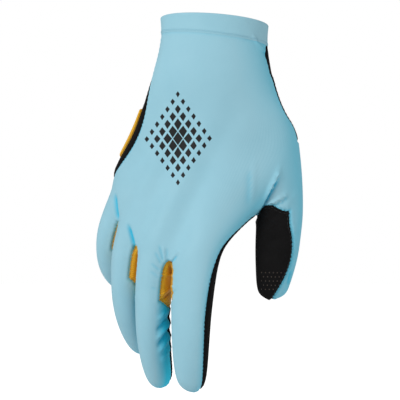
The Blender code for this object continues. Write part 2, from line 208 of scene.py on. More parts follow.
def finger_rings(finger, sections):
    """Ovals of eight corners along a bent finger, and its end point.

    The bend at share t of the length is lift + (curl - lift) (3 t^2 - 2 t^3), and the path is
    the running sum of the directions that it gives.
    """
    turn, splay = math.radians(finger.turn), math.radians(finger.splay)
    side = turned(THUMBWARD, UP, -turn)
    back = turned(BACKWARD, UP, -turn)
    down = -UP * math.cos(splay) + side * math.sin(splay)
    side = side * math.cos(splay) + UP * math.sin(splay)
    marks = np.arange(PATH_STEPS + 1) / PATH_STEPS
    bends = np.radians(finger.lift + (finger.curl - finger.lift) * marks ** 2 * (3 - 2 * marks))
    ahead = np.cos(bends)[:, None] * down - np.sin(bends)[:, None] * back
    base = np.array([finger.across * HAND_BREADTH, finger.deep * HAND_THICKNESS,
                     -finger.down * HAND_LENGTH])
    halfway = (ahead[1:] + ahead[:-1]) / 2
    path = base + np.vstack([np.zeros(3), np.cumsum(halfway, 0) * finger.length / PATH_STEPS])
    angles = THUMB_ANGLES if finger.name == "thumb" else FINGER_ANGLES
    seam_shares = SEAM_SHARES.get(finger.name, np.zeros(len(angles)))
    rings = []
    for section in sections:
        middle, direction = (
            np.array([np.interp(section.along, marks, line[:, i]) for i in range(3)])
            for line in (path, ahead))
        taper = 1 - finger.taper * section.along
        rings.append(oval(middle, side, np.cross(direction, side),
                          finger.width * section.width * taper * OCTAGON_SWELL,
                          finger.depth * section.depth * OCTAGON_SWELL,
                          angles + seam_shares * section.seam))
    return np.array(rings), path[-1] + ahead[-1] * TIP_ROUNDING


# %% Rings of the hand, and the hole for the thumb
def hand_rings(bases):
    """Rings from the cuff to the fingers' bases, and the middles of the webs.

    A hand ring is a blend of the last wrist ring and the ring through the fingers' bases,
    moved out at the edges and the knuckles.
    """
    last = np.empty((COLUMNS, 3))
    last[0], last[1], last[19] = bases[0][[0, 1, 7]]
    last[[HALF - 1, HALF, HALF + 1]] = bases[3][[3, 4, 5]]
    for f, ring in enumerate(bases):
        last[2 + 2 * f], last[18 - 2 * f] = ring[2], ring[6]
    middles = []
    for f, (near, far) in enumerate(zip(bases, bases[1:])):
        last[3 + 2 * f] = (near[3] + far[1]) / 2 - UP * WEB_BACK_DROPS[f]
        last[17 - 2 * f] = (near[5] + far[7]) / 2 - UP * WEB_PALM_DROP
        middles.append((near[4] + far[0]) / 2 - UP * WEB_MIDDLE_DROP)
    wrist = wrist_rings()
    columns = np.arange(COLUMNS)
    heel = np.maximum(0, 1 - np.abs(columns - HEEL_COLUMN) / 3)
    ball = np.maximum(0, 1 - np.minimum(columns, COLUMNS - columns) / 3)
    knuckle = np.zeros(COLUMNS)
    knuckle[[2, 4, 6, 8]] = 1.0
    knuckle[[3, 5, 7]] = -0.6
    slide = np.cos(np.minimum(np.abs(columns - HALF) / EDGE_REACH, 1) * math.pi / 2) ** 2
    rows = []
    for row in HAND:
        ring = wrist[-1] + (last - wrist[-1]) * row.along
        out = heel * row.heel * -1 + ball * row.ball
        ring = ring + THUMBWARD * (out * HAND_THICKNESS)[:, None]
        ring = ring + BACKWARD * (knuckle * row.knuckle * HAND_THICKNESS)[:, None]
        around = np.vstack([ring, ring[:1]])
        rows.append(np.stack([np.interp(columns - slide * row.edge, np.arange(COLUMNS + 1),
                                        around[:, i]) for i in range(3)], 1))
    return np.concatenate([wrist, rows, [last]]), np.array(middles)


def root_corners():
    """The oval hole for the thumb: tilted by ROOT_TILT, with some corners pulled outwards."""
    middle = np.array([ROOT_ACROSS * HAND_BREADTH, ROOT_DEEP * HAND_THICKNESS,
                       -ROOT_DOWN * HAND_LENGTH])
    long_axis = UP * math.cos(ROOT_TILT) + THUMBWARD * math.sin(ROOT_TILT)
    outward = THUMBWARD * math.cos(ROOT_TILT) - UP * math.sin(ROOT_TILT)
    return (oval(middle, long_axis, BACKWARD, ROOT_LENGTH, ROOT_DEPTH, THUMB_ANGLES)
            + outward * (ROOT_FLARE * ROOT_DEPTH)[:, None])


# %% [markdown]
# ## Cloth coordinates
# A knit has a direction: its stitches run in columns along the fingers. Object coordinates
# can't follow that round a curled finger, so each face of the cage also gets UV coordinates
# in metres of cloth. U counts the columns round the hand, V the length from the cuff.

# %% The cage with its panels and cloth coordinates
COLUMN_SPAN = 0.0100  # cloth between two columns of the cage


def between(ids):
    """Quads between neighbouring closed rings of points, facing out."""
    here, below = ids[:-1], ids[1:]
    return np.stack([here, np.roll(here, -1, 1), np.roll(below, -1, 1), below], -1)


def cloth_uv(starts, lengths):
    """UV of those quads' corners: U is the column's start or the next, V the row's length."""
    left, right = starts * COLUMN_SPAN, (starts + 1) * COLUMN_SPAN
    top, low = lengths[:-1, None], lengths[1:, None]
    corners = [(left, top), (right, top), (right, low), (left, low)]
    return np.stack([np.stack(np.broadcast_arrays(u, v), -1) for u, v in corners], -2)


def build_cage():
    """Points, quads, each quad's panel and each corner's UV."""
    made = [finger_rings(finger, FINGER_SECTIONS) for finger in FINGERS]
    rows, webs = hand_rings([rings[0] for rings, _ in made])
    hole = [(ROOT_TOP, 0), (ROOT_TOP, 1), (ROOT_MID, 1), (ROOT_LOW, 1), (ROOT_LOW, 0),
            (ROOT_LOW, 19), (ROOT_MID, 19), (ROOT_TOP, 19)]
    for (row, column), corner in zip(hole, root_corners()):
        rows[row, column] = corner
    points, faces, panels, uvs = [rows.reshape(-1, 3), webs], [], [], []

    def add(new):
        first = sum(map(len, points))
        points.append(np.asarray(new).reshape(-1, 3))
        return first + np.arange(len(points[-1])).reshape(np.shape(new)[:-1])

    def take(quads, panel, uv):
        faces.append(np.reshape(quads, (-1, 4)))
        panels.append(np.broadcast_to(panel, np.shape(quads)[:-1]).reshape(-1))
        uvs.append(np.reshape(uv, (-1, 4, 2)))

    def cap(end, peak, edges, starts, length):
        for k, panel in edges:
            take([[end[k], end[(k + 1) % 8], end[(k + 2) % 8], peak]], [panel],
                 [[(starts[k] * COLUMN_SPAN, length), ((starts[k] + 1) * COLUMN_SPAN, length),
                   ((starts[k] + 2) * COLUMN_SPAN, length),
                   ((starts[k] + 1) * COLUMN_SPAN, length + COLUMN_SPAN)]])

    ids = np.arange(rows[..., 0].size).reshape(len(rows), COLUMNS)
    web_ids = ids.size + np.arange(3)
    panel = np.zeros((len(rows) - 1, COLUMNS), int)
    panel[:, HALF:] = PALM
    panel[0] = HEM
    solid = np.ones(panel.shape, bool)
    solid[ROOT_TOP:ROOT_LOW, [0, 19]] = False
    gaps = np.linalg.norm(np.diff(rows, axis=0), axis=2).mean(1)
    lengths = np.concatenate([[0], np.cumsum(gaps)])
    take(between(ids)[solid], panel[solid], cloth_uv(np.arange(COLUMNS), lengths)[solid])

    last, corners = ids[-1], np.arange(8)
    for f, (finger, (rings, peak)) in enumerate(zip(FINGERS, made)):
        run = FINGER_SECTIONS[GUSSET_ROWS + 1].along - FINGER_SECTIONS[GUSSET_ROWS - 1].along
        rings[GUSSET_ROWS] += ((rings[GUSSET_ROWS + 1] - rings[GUSSET_ROWS - 1])
                               * (GUSSET_DROPS / run)[:, None])
        right = last[0] if f == 0 else web_ids[f - 1]
        left = last[HALF] if f == 3 else web_ids[f]
        first = [right, last[1 + 2 * f], last[2 + 2 * f], last[3 + 2 * f], left,
                 last[17 - 2 * f], last[18 - 2 * f], last[19 - 2 * f]]
        loops = np.vstack([first, add(rings[1:])])
        panel = np.tile([BACK] * 4 + [PALM] * 4, (len(loops) - 1, 1))
        if f > 0:
            panel[:GUSSET_ROWS, [0, 7]] = FIRST_GUSSET + f - 1
        if f < 3:
            panel[:GUSSET_ROWS, [3, 4]] = FIRST_GUSSET + f
        starts = np.where(corners < 4, 2 * f + corners, 12 - 2 * f + corners)
        along = lengths[-1] + finger.length * np.array([s.along for s in FINGER_SECTIONS])
        take(between(loops), panel, cloth_uv(starts, along))
        cap(loops[-1], add([peak])[0], [(0, BACK), (2, BACK), (4, PALM), (6, PALM)],
            starts, along[-1])

    rings, peak = finger_rings(THUMB, THUMB_SECTIONS)
    run = THUMB_SECTIONS[2].along - THUMB_SECTIONS[0].along
    rings[0] += (rings[2] - rings[0]) * (THUMB_ARCH / run)[:, None]
    loops = np.vstack([[ids[row, column] for row, column in hole], add(rings)])
    panel = np.tile([BACK] + [THUMB_PAD] * 5 + [BACK] * 2, (len(loops) - 1, 1))
    panel[0] = [BACK] * 4 + [PALM] * 2 + [BACK] * 2
    along = THUMB.length * np.array([s.along for s in THUMB_SECTIONS])
    along = lengths[ROOT_LOW] + np.concatenate([[-2 * COLUMN_SPAN], along])
    take(between(loops), panel, cloth_uv(corners, along))
    cap(loops[-1], add([peak])[0], [(1, THUMB_PAD), (3, THUMB_PAD), (5, BACK), (7, BACK)],
        corners, along[-1])
    return (np.concatenate(points), np.concatenate(faces), np.concatenate(panels),
            np.concatenate(uvs))


cage = build_cage()
print("cage:", len(cage[0]), "points,", len(cage[1]), "faces")

# %% [markdown]
# ## The smooth skin
# Subdivision Surface rounds the cage. The outer face of the cloth gets one level more than
# its inner face, which is seen only through the cuff. The finer mesh keeps the coarser
# mesh's points first in its list, so the inner face can later hang on the same points.

# %% Smooth the cage twice
INNER_LEVELS = 3
Skin = namedtuple("Skin", "points quads panels uv")


def mesh_from(name, points, faces, panels=None, uv=None):
    """A mesh from arrays; a face's material index holds its panel."""
    mesh = bpy.data.meshes.new(name)
    mesh.from_pydata(points.tolist(), [], [list(f) for f in faces])
    if panels is not None:
        for panel in PANELS:
            mesh.materials.append(None)
        mesh.polygons.foreach_set("material_index", np.asarray(panels, np.int32))
    if uv is not None:
        layer = mesh.uv_layers.new(name="cloth")
        layer.uv.foreach_set("vector", np.asarray(uv, np.float32).ravel())
    return mesh


def smoothed(skin, levels):
    """The skin after Catmull-Clark subdivision, read back as arrays."""
    mesh = mesh_from("skin", *skin)
    guide = bpy.data.objects.new("skin", mesh)
    bpy.context.scene.collection.objects.link(guide)
    smooth = guide.modifiers.new("smooth", "SUBSURF")
    smooth.levels = smooth.render_levels = levels
    smooth.uv_smooth = "NONE"
    bpy.context.view_layer.update()
    fine = bpy.data.meshes.new_from_object(guide.evaluated_get(
        bpy.context.evaluated_depsgraph_get()))
    points = np.empty(len(fine.vertices) * 3, np.float32)
    fine.vertices.foreach_get("co", points)
    quads = np.empty(len(fine.loops), np.int32)
    fine.loops.foreach_get("vertex_index", quads)
    panels = np.empty(len(fine.polygons), np.int32)
    fine.polygons.foreach_get("material_index", panels)
    uv = np.empty(len(fine.loops) * 2, np.float32)
    fine.uv_layers["cloth"].uv.foreach_get("vector", uv)
    bpy.data.objects.remove(guide)
    bpy.data.meshes.remove(mesh)
    bpy.data.meshes.remove(fine)
    return Skin(points.reshape(-1, 3).astype(float), quads.reshape(-1, 4), panels,
                uv.reshape(-1, 4, 2))


inner_skin = smoothed(cage, INNER_LEVELS)
outer_skin = smoothed(inner_skin, 1)
shared = len(inner_skin.points)
shift = np.linalg.norm(outer_skin.points[:shared] - inner_skin.points, axis=1).max()
print("skins:", len(inner_skin.quads), "and", len(outer_skin.quads), "faces, shift in mm",
      round(float(shift) * 1000, 3))

# %% [markdown]
# ## Seams
# A seam is every edge where two panels meet. The edges are chained into lines, and each
# point of a line gets its distance along the seam and the direction across it. All that
# happens at a seam uses these: the valley, the puckers and every stitch.

# %% Find the seam lines
Seam = namedtuple("Seam", "panels ids along tangent across length")


def vertex_normals(points, quads):
    """The mean of the faces' normals at each point; a face's is the cross of its diagonals."""
    a, b, c, d = (points[quads[:, k]] for k in range(4))
    normal = np.cross(c - a, d - b)
    total = np.zeros_like(points)
    for k in range(4):
        for axis in range(3):
            total[:, axis] += np.bincount(quads[:, k], normal[:, axis], len(points))
    return total / np.maximum(np.linalg.norm(total, axis=1), 1e-12)[:, None]


def seam_edges(quads, panels):
    """Edges that two faces of unlike panels share, and the two panels."""
    ends = np.sort(np.stack([quads, np.roll(quads, -1, 1)], -1).reshape(-1, 2), 1)
    owner = np.repeat(panels, 4)
    order = np.lexsort((owner, ends[:, 1], ends[:, 0]))
    ends, owner = ends[order], owner[order]
    first = np.flatnonzero((ends[1:] == ends[:-1]).all(1) & (owner[1:] != owner[:-1]))
    return ends[first], np.stack([owner[first], owner[first + 1]], 1)


def chained(edges):
    """Edges joined end to end into runs of points. A run stops where three edges meet."""
    beside = {}
    for a, b in edges.tolist():
        beside.setdefault(a, []).append(b)
        beside.setdefault(b, []).append(a)
    left = {tuple(edge) for edge in edges.tolist()}
    starts = [p for p, near in beside.items() if len(near) != 2] + list(beside)
    runs = []
    for start in starts:
        for ahead in beside[start]:
            run = [start]
            while (min(run[-1], ahead), max(run[-1], ahead)) in left:
                left.remove((min(run[-1], ahead), max(run[-1], ahead)))
                run.append(ahead)
                if len(beside[ahead]) != 2:
                    break
                ahead = sum(beside[ahead]) - run[-2]
            if len(run) > 1:
                runs.append(np.array(run))
    return runs


def find_seams(skin, normals):
    """Every seam with its running length, and its directions along and across."""
    edges, pairs = seam_edges(skin.quads, skin.panels)
    seams = []
    for pair in np.unique(pairs, axis=0):
        for ids in chained(edges[(pairs == pair).all(1)]):
            line = skin.points[ids]
            along = np.concatenate([[0], np.cumsum(np.linalg.norm(np.diff(line, axis=0), axis=1))])
            tangent = np.gradient(line, axis=0)
            tangent /= np.maximum(np.linalg.norm(tangent, axis=1), 1e-12)[:, None]
            across = np.cross(normals[ids], tangent)
            seams.append(Seam(tuple(pair.tolist()), ids, along, tangent, across, along[-1]))
    return seams


flat_normals = vertex_normals(outer_skin.points, outer_skin.quads)
seams = find_seams(outer_skin, flat_normals)
print("seams:", len(seams), "with", round(sum(s.length for s in seams) * 1000), "mm of stitching")

# %% Distance of every point of the cloth from its nearest seam
seam_ids = np.concatenate([seam.ids for seam in seams])
seam_along = np.concatenate([seam.along for seam in seams])
seam_across = np.concatenate([seam.across for seam in seams])
seam_from_end = np.concatenate([np.minimum(s.along, s.length - s.along) for s in seams])
seam_panels = np.concatenate([np.tile(s.panels, (len(s.ids), 1)) for s in seams])


def nearest(targets, places):
    """For each place, the index of the nearest target and the distance to it."""
    squares = (targets ** 2).sum(1)
    index, away = np.empty(len(places), int), np.empty(len(places))
    for start in range(0, len(places), 4000):
        part = places[start:start + 4000]
        table = squares - 2 * part @ targets.T
        index[start:start + 4000] = table.argmin(1)
        away[start:start + 4000] = table.min(1) + (part ** 2).sum(1)
    return index, np.sqrt(np.maximum(away, 0))


seam_at, seam_distance = nearest(outer_skin.points[seam_ids], outer_skin.points)
print("cloth within 2 mm of a seam:", int((seam_distance < 0.002).sum()), "points")

# %% [markdown]
# ## Folds, creases and puckers
# A worn knit is nearly smooth, but it creases where the thumb pulls on the hand, under the
# hem and above each gusset, and its seams sink in and pucker. Cloth simulation could find
# folds, but not the ones in the photograph, so each is a row of a table: a bowed line on the
# back of the hand with a width and a height. The cloth moves along its normals by
# height exp(-(distance / width)^2), faded out at the fold's ends.

# %% The table of folds
PIXEL = 0.00059  # a pixel of the photograph at the glove
PHOTO_X, PHOTO_Y = 214.5, 22  # the pixel of the origin
# x0 y0 x1 y1: the ends in the photograph's pixels. bow: how far its middle stands to the left
# of the way from first to second end. width, height: metres
Fold = namedtuple("Fold", "x0 y0 x1 y1 bow width height")
FOLDS = [
    # under the hem at the thumb's side
    Fold(252, 37, 268, 54, -0.0010, 0.0009, 0.0008),
    Fold(262, 47, 272, 78, 0.0012, 0.0013, -0.0013),
    # from the hand to the web of the thumb
    Fold(281, 166, 255, 214, 0.0004, 0.0011, 0.0017),
    Fold(279, 178, 259, 211, 0.0004, 0.0008, -0.0016),
    Fold(290, 192, 263, 206, 0.0006, 0.0011, 0.0011),
    Fold(288, 198, 270, 207, 0.0004, 0.0008, -0.0009),
    Fold(300, 190, 285, 204, 0.0006, 0.0015, 0.0006),
    Fold(254, 160, 252, 206, 0.0000, 0.0011, 0.0005),
    Fold(249, 170, 248, 206, 0.0000, 0.0016, -0.0004),
    # above the gussets
    Fold(113, 194, 116, 221, -0.0003, 0.0009, -0.0014),
    Fold(127, 225, 134, 253, 0.0003, 0.0010, -0.0016),
    Fold(155, 252, 162, 265, 0.0000, 0.0007, -0.0005),
    Fold(159, 245, 164, 264, 0.0000, 0.0006, -0.0006),
    Fold(164, 245, 165, 263, 0.0000, 0.0005, 0.0007),
    Fold(167, 248, 167, 263, 0.0000, 0.0006, -0.0004),
    Fold(180, 249, 169, 262, 0.0003, 0.0007, 0.0008),
    Fold(177, 254, 168, 265, 0.0003, 0.0008, -0.0010),
    Fold(151, 263, 161, 272, 0.0000, 0.0007, -0.0004),
    Fold(150, 271, 160, 279, 0.0000, 0.0008, -0.0003),
    Fold(151, 288, 160, 291, 0.0000, 0.0008, -0.0003),
    # the side of the middle finger
    Fold(170, 309, 157, 321, 0.0000, 0.0008, 0.0010),
    Fold(170, 316, 156, 332, 0.0004, 0.0009, -0.0011),
    Fold(170, 322, 156, 341, 0.0004, 0.0009, 0.0013),
    Fold(170, 329, 157, 348, 0.0004, 0.0009, -0.0012),
    Fold(170, 335, 158, 355, 0.0004, 0.0010, 0.0012),
    Fold(170, 347, 160, 365, 0.0004, 0.0011, 0.0008),
    Fold(292, 270, 289, 286, 0.0000, 0.0009, -0.0010),
    # inside the gusset beside the index finger
    Fold(159, 276, 174, 275, 0.0000, 0.0006, 0.0006),
    Fold(159, 298, 174, 285, 0.0003, 0.0008, 0.0008),
    Fold(160, 303, 175, 291, 0.0003, 0.0008, -0.0009),
    Fold(169, 262, 172, 274, 0.0000, 0.0011, -0.0008),
    # the thumb's panel
    Fold(262, 226, 286, 210, 0.0006, 0.0016, -0.0007),
    Fold(258, 240, 278, 222, 0.0006, 0.0013, 0.0006),
    Fold(259, 246, 279, 238, -0.0005, 0.0014, -0.0006),
]


# %% Move the cloth
VALLEY_DEPTH, VALLEY_WIDTH = 0.0007, 0.0009
ROLL_HEIGHT, ROLL_FROM_SEAM, ROLL_WIDTH = 0.00022, 0.0021, 0.0011
PUCKER_HEIGHT, PUCKER_PITCH, PUCKER_REACH = 0.00018, 0.0029, 0.0030
SCALLOP, SCALLOP_PITCH, SCALLOP_REACH = 0.0004, 0.0024, 0.0012
SCALLOP_OF_SEAM, SCALLOP_OF_PAD, SCALLOP_FADE = 0.4, 0.2, 0.004  # shares, and metres at an end
HEM_SHARE = 0.12  # how much of a seam's relief and shade the hem's lower edge has
DEEP_CREASE = 0.0016  # a hollow this deep gets the full painted shade of a crease
# painted shade along the seams: how dark it is, and how far it reaches
SEAM_SHADE, SEAM_SHADE_WIDTH = 0.55, 0.0013
# Painted shade: the deep blue grows as the cloth turns from the back of the hand, most of all
# thumbwards, and is fullest on the fingers' sides beyond the index finger.
TURN_FROM, TURN_THUMBWARD, TURN_SPAN, TURN_ELSEWHERE = 0.8, 0.7, 0.75, 0.4
FINGERS_BEYOND, FINGERS_BELOW = 178, 215  # the photograph's pixels
BEYOND_FADE, BELOW_FADE = 0.004, 0.010


def fold_height(points, normals):
    """The sum of all folds at each point that faces the back of the hand."""
    x = points[:, 0] / PIXEL + PHOTO_X
    y = PHOTO_Y - points[:, 2] / PIXEL
    facing = np.clip(-normals[:, 1] * 2.5 + 0.6, 0, 1)
    height = np.zeros(len(points))
    for fold in FOLDS:
        dx, dy = fold.x1 - fold.x0, fold.y1 - fold.y0
        length = math.hypot(dx, dy)
        share = np.clip(((x - fold.x0) * dx + (y - fold.y0) * dy) / length ** 2, -0.2, 1.2)
        bow = fold.bow * 4 * share * (1 - share)
        off = ((x - fold.x0) * dy - (y - fold.y0) * dx) / length * PIXEL - bow
        past = np.abs(((x - fold.x0) * dx + (y - fold.y0) * dy) / length ** 2 - 0.5)
        fade = np.clip((0.6 - past) / 0.35, 0, 1)
        fade = fade * fade * (3 - 2 * fade)
        height += fold.height * np.exp(-(off / fold.width) ** 2) * fade
    return height * facing


def seam_shape(distance, along):
    """Valley, the roll beside it, and puckers that fade away from the seam."""
    valley = -VALLEY_DEPTH * np.exp(-(distance / VALLEY_WIDTH) ** 2)
    roll = ROLL_HEIGHT * np.exp(-((distance - ROLL_FROM_SEAM) / ROLL_WIDTH) ** 2)
    pucker = PUCKER_HEIGHT * np.cos(along * 2 * math.pi / PUCKER_PITCH)
    return valley + roll + pucker * np.exp(-distance / PUCKER_REACH)


along_here = seam_along[seam_at]
hem_here = (seam_panels[seam_at] == HEM).any(1)
settled = np.clip(seam_from_end[seam_at] / SCALLOP_FADE, 0, 1)
height = fold_height(outer_skin.points, flat_normals)
height += seam_shape(seam_distance, along_here) * np.where(hem_here, HEM_SHARE, 1)
wobble = SCALLOP * np.sin(along_here * 2 * math.pi / SCALLOP_PITCH) * settled
pad_here = (seam_panels[seam_at] == THUMB_PAD).any(1)
wobble = wobble * np.exp(-(seam_distance / SCALLOP_REACH) ** 2)
wobble = wobble * np.where(hem_here, 0, np.where(pad_here, SCALLOP_OF_PAD, SCALLOP_OF_SEAM))
cloth_points = (outer_skin.points + flat_normals * height[:, None]
                + seam_across[seam_at] * wobble[:, None])
cloth_normals = vertex_normals(cloth_points, outer_skin.quads)
# Painted shade: the cloth's colour darkens in the hollows of folds and beside every seam.
crease_shade = np.clip(-height / DEEP_CREASE, 0, 1)
crease_shade = np.maximum(crease_shade, np.where(hem_here, HEM_SHARE, SEAM_SHADE)
                    * np.exp(-(seam_distance / SEAM_SHADE_WIDTH) ** 2))
# Painted shade: a deep blue where the cloth turns from the back of the hand, fullest between the
# fingers.
side_shade = np.clip((flat_normals @ (TURN_THUMBWARD * THUMBWARD - BACKWARD) + TURN_FROM)
                      / TURN_SPAN, 0, 1)
beyond = (FINGERS_BEYOND - PHOTO_X) * PIXEL - outer_skin.points[:, 0]
below = (PHOTO_Y - FINGERS_BELOW) * PIXEL - outer_skin.points[:, 2]
finger_gap_shade = np.clip(beyond / BEYOND_FADE, 0, 1) * np.clip(below / BELOW_FADE, 0, 1)
side_shade *= TURN_ELSEWHERE + (1 - TURN_ELSEWHERE) * finger_gap_shade
print("cloth moved from", round(height.min() * 1000, 2), "to", round(height.max() * 1000, 2), "mm")

# %% [markdown]
# ## Panels
# Each panel is cut from the skin along its seams and gets the thickness of its cloth. The
# outer face has the fine quads, the inner face the coarse ones, and a rim of mixed faces
# joins them, so the wall is closed.

# %% Cut the panels
CLOTH_WALL = 0.0009
pieces = {}


def border_edges(quads):
    """Directed edges of the quads that no other quad shares."""
    ends = np.stack([quads, np.roll(quads, -1, 1)], -1).reshape(-1, 2)
    code = ends[:, 0].astype(np.int64) * (quads.max() + 1) + ends[:, 1]
    back = ends[:, 1].astype(np.int64) * (quads.max() + 1) + ends[:, 0]
    return ends[~np.isin(code, back)]


def panel_wall(name, wall):
    """The closed wall of one panel: outer quads, inner quads turned round, and the rim."""
    number = PANELS.index(name)
    fine = outer_skin.panels == number
    coarse = inner_skin.panels == number
    outer, inner = outer_skin.quads[fine], inner_skin.quads[coarse][:, ::-1]
    edges = border_edges(outer)
    to_middle = edges[edges[:, 1] >= shared]
    from_middle = edges[edges[:, 0] >= shared]
    to_middle = to_middle[np.argsort(to_middle[:, 1])]
    from_middle = from_middle[np.argsort(from_middle[:, 0])]
    start, middle, end = to_middle[:, 0], to_middle[:, 1], from_middle[:, 1]
    far = len(cloth_points)
    rim = np.stack([middle, start, start + far, end + far, end], 1)
    both = np.vstack([cloth_points, cloth_points[:shared] - cloth_normals[:shared] * wall])
    used, index = np.unique(np.concatenate([outer.ravel(), inner.ravel() + far, rim.ravel()]),
                            return_inverse=True)
    counts = [outer.size, outer.size + inner.size]
    parts = np.split(index.ravel(), counts)
    faces = (parts[0].reshape(-1, 4).tolist() + parts[1].reshape(-1, 4).tolist()
             + parts[2].reshape(-1, 5).tolist())
    rim_uv = np.zeros((len(rim), 5, 2))
    uv = np.concatenate([outer_skin.uv[fine].reshape(-1, 2),
                         inner_skin.uv[coarse][:, ::-1].reshape(-1, 2), rim_uv.reshape(-1, 2)])
    mesh = bpy.data.meshes.new(name + "_cloth")
    mesh.from_pydata(both[used].tolist(), [], faces)
    mesh.uv_layers.new(name="cloth").uv.foreach_set("vector", uv.astype(np.float32).ravel())
    for title, values in (("crease_shade", crease_shade), ("side_shade", side_shade)):
        layer = mesh.attributes.new(title, "FLOAT", "POINT")
        layer.data.foreach_set("value", np.concatenate(
            [values, values[:shared]])[used].astype(np.float32))
    return finish_mesh(mesh, name)


def finish_mesh(mesh, *nodes, slot=None):
    """Links a finished mesh as a piece that rides on the root and stands for the nodes."""
    mesh.polygons.foreach_set("use_smooth", np.ones(len(mesh.polygons), bool))
    mesh.set_sharp_from_angle(angle=math.radians(50))
    mesh.validate()
    piece = bpy.data.objects.new(mesh.name, mesh)
    bpy.context.scene.collection.objects.link(piece)
    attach(piece, "root")
    if nodes:
        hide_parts(*nodes)
    pieces[mesh.name] = piece
    return piece


for name in PANELS:
    if name != "cuff_hem":
        made = panel_wall(name, CLOTH_WALL)
        print(made.name, len(made.data.polygons), "faces")

# %% [markdown]
# ## The hem
# The cuff ends in a band of the same knit folded double. Its section is a flat loop with a
# round fold at the top. So it is one profile carried round the cuff: the points of the skin
# give the place and the direction outwards, the profile gives how far out and how high.

# %% Carry the hem's profile round the cuff
HEM_OUT, HEM_IN = 0.0002, 0.0012  # how far the band stands out of the skin, and into it
HEM_FOLD_STEPS = 7


def hem_grid():
    """The skin of the hem as rows from the mouth down and columns round the wrist."""
    quads = outer_skin.quads[outer_skin.panels == HEM]
    uv = outer_skin.uv[outer_skin.panels == HEM]
    ids = quads.ravel()
    places = np.round(uv.reshape(-1, 2) / [COLUMN_SPAN / 16, 1e-6]).astype(int)
    places[:, 0] %= COLUMNS * 16
    _, first = np.unique(ids, return_index=True)
    ids, places = ids[first], places[first]
    order = np.lexsort((places[:, 0], places[:, 1]))
    return ids[order].reshape(-1, COLUMNS * 16)


def hem_band(grid):
    """Rows of points: up the outside, over the fold in a half circle, and down the inside."""
    skin, out = cloth_points[grid], cloth_normals[grid]
    up = skin[0] - skin[1]
    up /= np.linalg.norm(up, axis=1)[:, None]
    half = (HEM_OUT + HEM_IN) / 2
    angles = np.linspace(0, math.pi, HEM_FOLD_STEPS + 2)[1:-1]
    middle = skin[0] + out[0] * (HEM_OUT - half) - up * half
    fold = middle + (np.cos(angles)[:, None, None] * half * out[0]
                     + np.sin(angles)[:, None, None] * half * up)
    body = slice(len(grid) - 1, 1, -1)
    return np.concatenate([skin[body] + out[body] * HEM_OUT, fold,
                           skin[2:] - out[2:] * HEM_IN])


grid = hem_grid()
band = hem_band(grid)
loop_ids = np.arange(band[..., 0].size).reshape(band.shape[:2])
closed = np.vstack([loop_ids, loop_ids[:1]])
hem_faces = between(closed).reshape(-1, 4)[:, ::-1]
u = np.arange(COLUMNS * 16) / 16
v = np.concatenate([[0], np.cumsum(np.linalg.norm(np.diff(band, axis=0), axis=2).mean(1)),
                    [0.05]])
hem_mesh = bpy.data.meshes.new("cuff_hem_cloth")
hem_mesh.from_pydata(band.reshape(-1, 3).tolist(), [], hem_faces.tolist())
hem_uv = np.stack([np.stack(np.broadcast_arrays(a * COLUMN_SPAN, b), -1) for a, b in [
    (u, v[:-1, None]), (u + 1 / 16, v[:-1, None]), (u + 1 / 16, v[1:, None]), (u, v[1:, None])]],
    -2)
hem_mesh.uv_layers.new(name="cloth").uv.foreach_set(
    "vector", hem_uv.reshape(-1, 4, 2)[:, ::-1].astype(np.float32).ravel())
finish_mesh(hem_mesh, "cuff_hem")
print("hem:", len(hem_faces), "faces")

# %% [markdown]
# ## Laying small things on the cloth
# Stitches, the side patch and the grip dots lie on the cloth. Their places are first
# rough, and then each is moved to the weighted mean of the nearest points of the skin, which
# also gives the direction outwards there.

# %% Find a place on the cloth
def laid(places, candidates):
    """Places on the cloth near the given ones, and the normals there.

    The three nearest points of the cloth count with weights 1 / distance^2, and the place
    then slides in the plane through their mean so that it stays beside its rough place.
    """
    points, normals = cloth_points[candidates], cloth_normals[candidates]
    spots, outs = np.empty_like(places), np.empty_like(places)
    for start in range(0, len(places), 400):
        part = places[start:start + 400]
        away = ((part[:, None] - points[None]) ** 2).sum(2)
        near = np.argpartition(away, 3, axis=1)[:, :3]
        weight = 1 / (np.take_along_axis(away, near, 1) + 1e-10)
        weight /= weight.sum(1, keepdims=True)
        mean = (points[near] * weight[..., None]).sum(1)
        out = (normals[near] * weight[..., None]).sum(1)
        out /= np.linalg.norm(out, axis=1)[:, None]
        off = part - mean
        spots[start:start + 400] = mean + off - out * (off * out).sum(1)[:, None]
        outs[start:start + 400] = out
    return spots, outs


def panel_points(*names):
    """Indices of the skin's points that these panels use."""
    numbers = [PANELS.index(name) for name in names]
    return np.unique(outer_skin.quads[np.isin(outer_skin.panels, numbers)])


# %% Thread
THREAD_STEPS, THREAD_SIDES = 5, 6


def threads(name, middles, alongs, outs, length, arch, radius):
    """One mesh of small arched tubes.

    A stitch's centre line is middle + along length/2 t + out arch (1 - t^2), t from -1 to 1,
    and round it stands a ring of six points of the thread's radius, closed at both ends.
    """
    t = np.linspace(-1, 1, THREAD_STEPS)
    turn = np.arange(THREAD_SIDES) * 2 * math.pi / THREAD_SIDES
    alongs = alongs / np.linalg.norm(alongs, axis=1)[:, None]
    sides = np.cross(alongs, outs)
    line = (middles[:, None] + alongs[:, None] * (length / 2 * t)[None, :, None]
            + outs[:, None] * (arch * (1 - t ** 2))[None, :, None])
    ring = (sides[:, None] * np.cos(turn)[None, :, None]
            + outs[:, None] * np.sin(turn)[None, :, None]) * radius
    points = (line[:, :, None] + ring[:, None]).reshape(-1, 3)
    ids = np.arange(len(points)).reshape(len(middles), THREAD_STEPS, THREAD_SIDES)
    here, ahead = ids[:, :-1], ids[:, 1:]
    walls = np.stack([here, np.roll(here, -1, 2), np.roll(ahead, -1, 2), ahead], -1)
    faces = (walls.reshape(-1, 4).tolist() + ids[:, 0][:, ::-1].tolist()
             + ids[:, -1].tolist())
    mesh = bpy.data.meshes.new(name)
    mesh.from_pydata(points.tolist(), [], faces)
    print(name, len(middles), "stitches")
    return finish_mesh(mesh)


